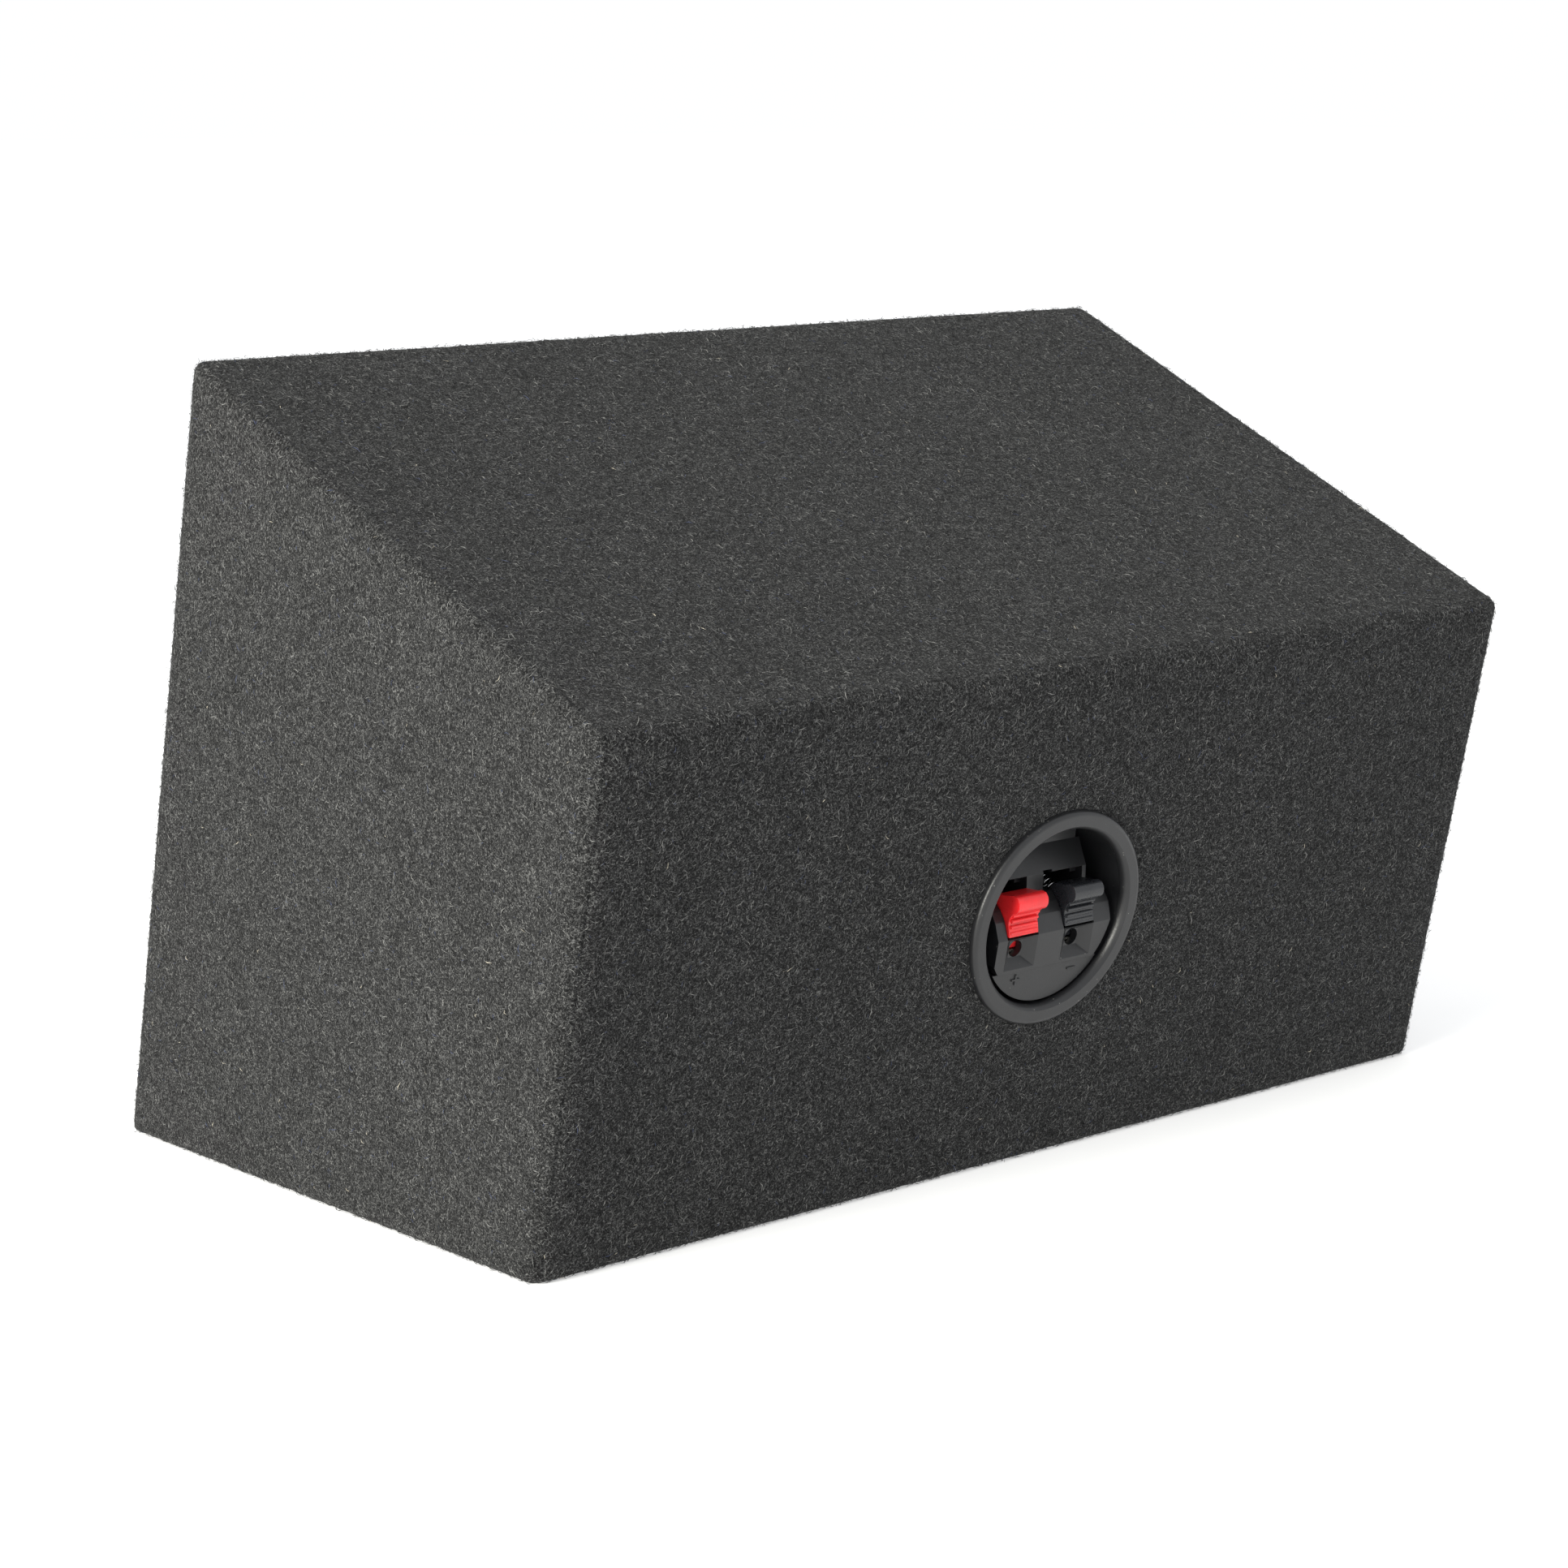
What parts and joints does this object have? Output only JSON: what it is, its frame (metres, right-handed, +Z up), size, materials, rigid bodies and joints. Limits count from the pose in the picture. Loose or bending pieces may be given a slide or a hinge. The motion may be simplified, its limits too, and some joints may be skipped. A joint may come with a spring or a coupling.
{
  "type": "carpeted wedge loudspeaker cabinet",
  "caption": "Carpet-covered wedge loudspeaker cabinet with a perforated grille, woofer, horn tweeter and a snap-in push-spring terminal cup on its rear face.",
  "frame": {"origin": "bottom centre of the box around the cabinet, on the surface it stands on", "axes": "+X across the width, -Y towards the grille, +Y towards the terminals, +Z up"},
  "size_m": [0.31, 0.2062, 0.2047],
  "materials": {
    "carpet_charcoal": "needle-punched carpet, dull",
    "mdf_board": "raw medium-density fibreboard",
    "baffle_paint": "fibreboard painted matt black",
    "pine_batten": "sawn pine",
    "grey_felt": "pressed felt",
    "cup_plastic": "fine-textured moulding",
    "lever_red_plastic": "semi-gloss moulding",
    "lever_black_plastic": "semi-gloss moulding",
    "bright_spring_steel": "bright drawn wire",
    "nickel_plate": "bright nickel plate",
    "pin_steel": "ground",
    "basket_paint": "satin black paint",
    "cone_paper": "pressed black paper pulp",
    "surround_rubber": "soft matt rubber",
    "trim_ring_foam": "dense foam",
    "cap_paper": "treated cloth dome",
    "former_aluminium": "mill finish foil",
    "enamelled_copper": "enamelled winding wire",
    "spider_cloth": "resin-treated cotton",
    "zinc_steel": "zinc plated",
    "ferrite": "sintered ferrite",
    "brown_board": "phenolic board",
    "tinned_brass": "tinned",
    "tinsel_braid": "braided tinsel",
    "horn_plastic": "satin moulding",
    "black_foam": "closed-cell foam",
    "dome_film": "metallised film",
    "capacitor_film": "wrapped film",
    "bobbin_plastic": "moulded",
    "black_screw_steel": "black oxide",
    "red_pvc": "wire insulation",
    "black_pvc": "wire insulation",
    "grille_paint": "textured black powder coat",
    "brad_steel": "bright wire"
  },
  "bodies": {
    "cabinet": {"panel_top": "mdf_board", "panel_bottom": "mdf_board", "panel_rear": "mdf_board", "panel_end_left": "mdf_board", "panel_end_right": "mdf_board", "panel_brads": "brad_steel", "carpet_top": "carpet_charcoal", "carpet_rear": "carpet_charcoal", "carpet_bottom": "carpet_charcoal", "carpet_end_left": "carpet_charcoal", "carpet_end_right": "carpet_charcoal", "baffle": "baffle_paint", "baffle_cleat_top": "pine_batten", "baffle_cleat_bottom": "pine_batten", "baffle_cleats_upright": "pine_batten", "edge_cleats": "pine_batten", "baffle_screws": "zinc_steel", "damping_felt_top": "grey_felt", "damping_felt_bottom": "grey_felt", "woofer_basket": "basket_paint", "woofer_surround": "surround_rubber", "woofer_trim_ring": "trim_ring_foam", "woofer_spider": "spider_cloth", "woofer_top_plate": "zinc_steel", "woofer_magnet": "ferrite", "woofer_yoke": "zinc_steel", "woofer_terminal_strip": "brown_board", "woofer_tabs": "tinned_brass", "woofer_tinsel_leads": "tinsel_braid", "woofer_screws": "black_screw_steel", "tweeter_gasket": "black_foam", "tweeter_horn": "horn_plastic", "tweeter_can": "horn_plastic", "tweeter_magnet": "ferrite", "tweeter_diaphragm": "dome_film", "tweeter_screws": "black_screw_steel", "crossover_board": "brown_board", "crossover_spacers": "bobbin_plastic", "crossover_screws": "zinc_steel", "crossover_capacitor": "capacitor_film", "crossover_bobbin": "bobbin_plastic", "crossover_coil": "enamelled_copper", "leads_positive": "red_pvc", "leads_negative": "black_pvc", "terminal_cup": "cup_plastic", "lever_spring_red": "bright_spring_steel", "lever_spring_black": "bright_spring_steel", "contact_red": "nickel_plate", "contact_black": "nickel_plate", "lever_pin": "pin_steel", "grille": "grille_paint", "grille_spacers": "black_foam", "grille_screws": "black_screw_steel"},
    "red_lever": {"lever_red": "lever_red_plastic"},
    "black_lever": {"lever_black": "lever_black_plastic"},
    "woofer_cone_assembly": {"woofer_cone": "cone_paper", "woofer_dust_cap": "cap_paper", "woofer_former": "former_aluminium", "woofer_coil": "enamelled_copper"}
  },
  "joints": [
    {"name": "red_lever_push", "type": "hinge", "parent": "cabinet", "child": "red_lever", "pos_m": [0.01235, 0.07443, 0.05954], "axis": [1, 0, 0], "range_deg": [0, 9], "stiffness_Nm_per_rad": 0.024, "springref_deg": -20.05, "deforming": ["lever_spring_red"]},
    {"name": "black_lever_push", "type": "hinge", "parent": "cabinet", "child": "black_lever", "pos_m": [-0.00715, 0.07443, 0.05954], "axis": [1, 0, 0], "range_deg": [0, 9], "stiffness_Nm_per_rad": 0.024, "springref_deg": -20.05, "deforming": ["lever_spring_black"]},
    {"name": "woofer_cone_travel", "type": "slide", "parent": "cabinet", "child": "woofer_cone_assembly", "axis": [0, -0.9764, 0.216], "range_m": [-0.003, 0.003], "stiffness_N_per_m": 1200, "deforming": ["woofer_surround", "woofer_spider", "woofer_tinsel_leads"]}
  ]
}
